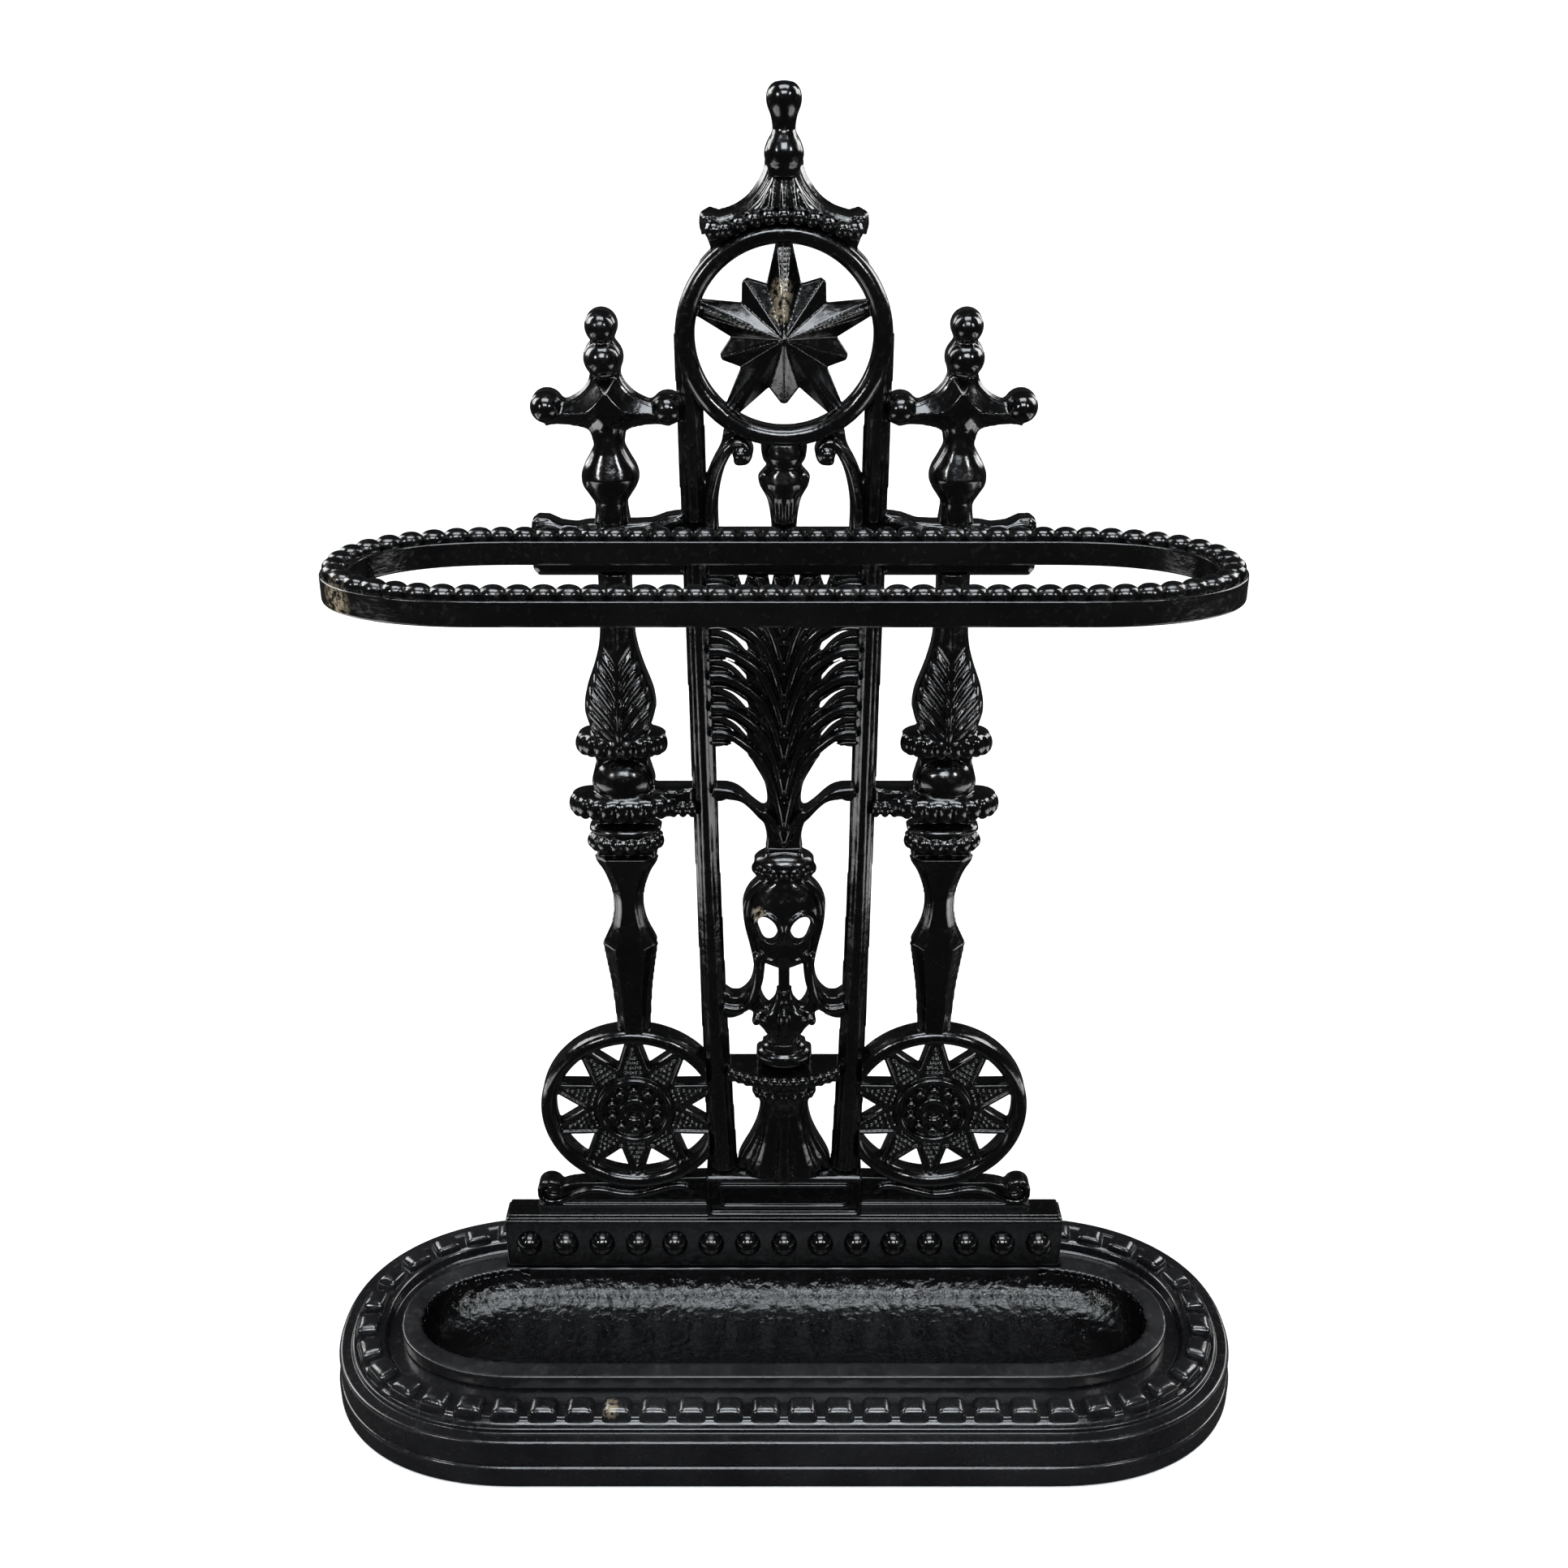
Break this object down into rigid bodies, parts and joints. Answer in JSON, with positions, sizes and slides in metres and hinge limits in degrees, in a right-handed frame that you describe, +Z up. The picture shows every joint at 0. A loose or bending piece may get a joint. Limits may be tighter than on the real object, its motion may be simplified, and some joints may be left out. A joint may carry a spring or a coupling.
{
  "type": "umbrella stand",
  "caption": "Cast-iron stick and umbrella stand: long oval base with a toothed band and loose drip tray, pierced ornamental back panel and a beaded oval ring",
  "frame": {"origin": "middle of the base's underside, on the floor", "axes": "+X to the right along the width, +Y to the back, -Y to the front, +Z up"},
  "size_m": [0.507, 0.186, 0.6805],
  "materials": {
    "black_enamel": "gloss black enamel brushed over cast iron, worn thin on the edges",
    "tray_enamel": "gloss black enamel, wrinkled in the bowl",
    "bolt_steel": "blackened steel, satin"
  },
  "bodies": {
    "frame": {"base_plinth": "black_enamel", "base_teeth": "black_enamel", "foot_box": "black_enamel", "box_beads": "black_enamel", "plaque": "black_enamel", "scroll_bracket_left": "black_enamel", "scroll_bracket_right": "black_enamel", "wheel_left": "black_enamel", "wheel_right": "black_enamel", "spindle_lower_left": "black_enamel", "spindle_lower_right": "black_enamel", "spindle_upper_left": "black_enamel", "spindle_upper_right": "black_enamel", "frame_rail_left": "black_enamel", "frame_rail_right": "black_enamel", "medallion": "black_enamel", "pagoda_roof": "black_enamel", "top_finial": "black_enamel", "c_scroll_left": "black_enamel", "c_scroll_right": "black_enamel", "baluster": "black_enamel", "palm": "black_enamel", "urn": "black_enamel", "dish": "black_enamel", "pedestal": "black_enamel", "crossbar": "black_enamel", "stick_ring": "black_enamel", "ring_beads": "black_enamel", "ring_bolts": "bolt_steel", "ring_washers": "bolt_steel", "foot_bolts": "bolt_steel", "foot_washers": "bolt_steel"},
    "tray": {"drip_tray": "tray_enamel"}
  },
  "joints": [
    {"name": "tray_lift", "type": "slide", "parent": "frame", "child": "tray", "axis": [0, -0.6428, 0.766], "range_m": [0, 0.16]}
  ]
}
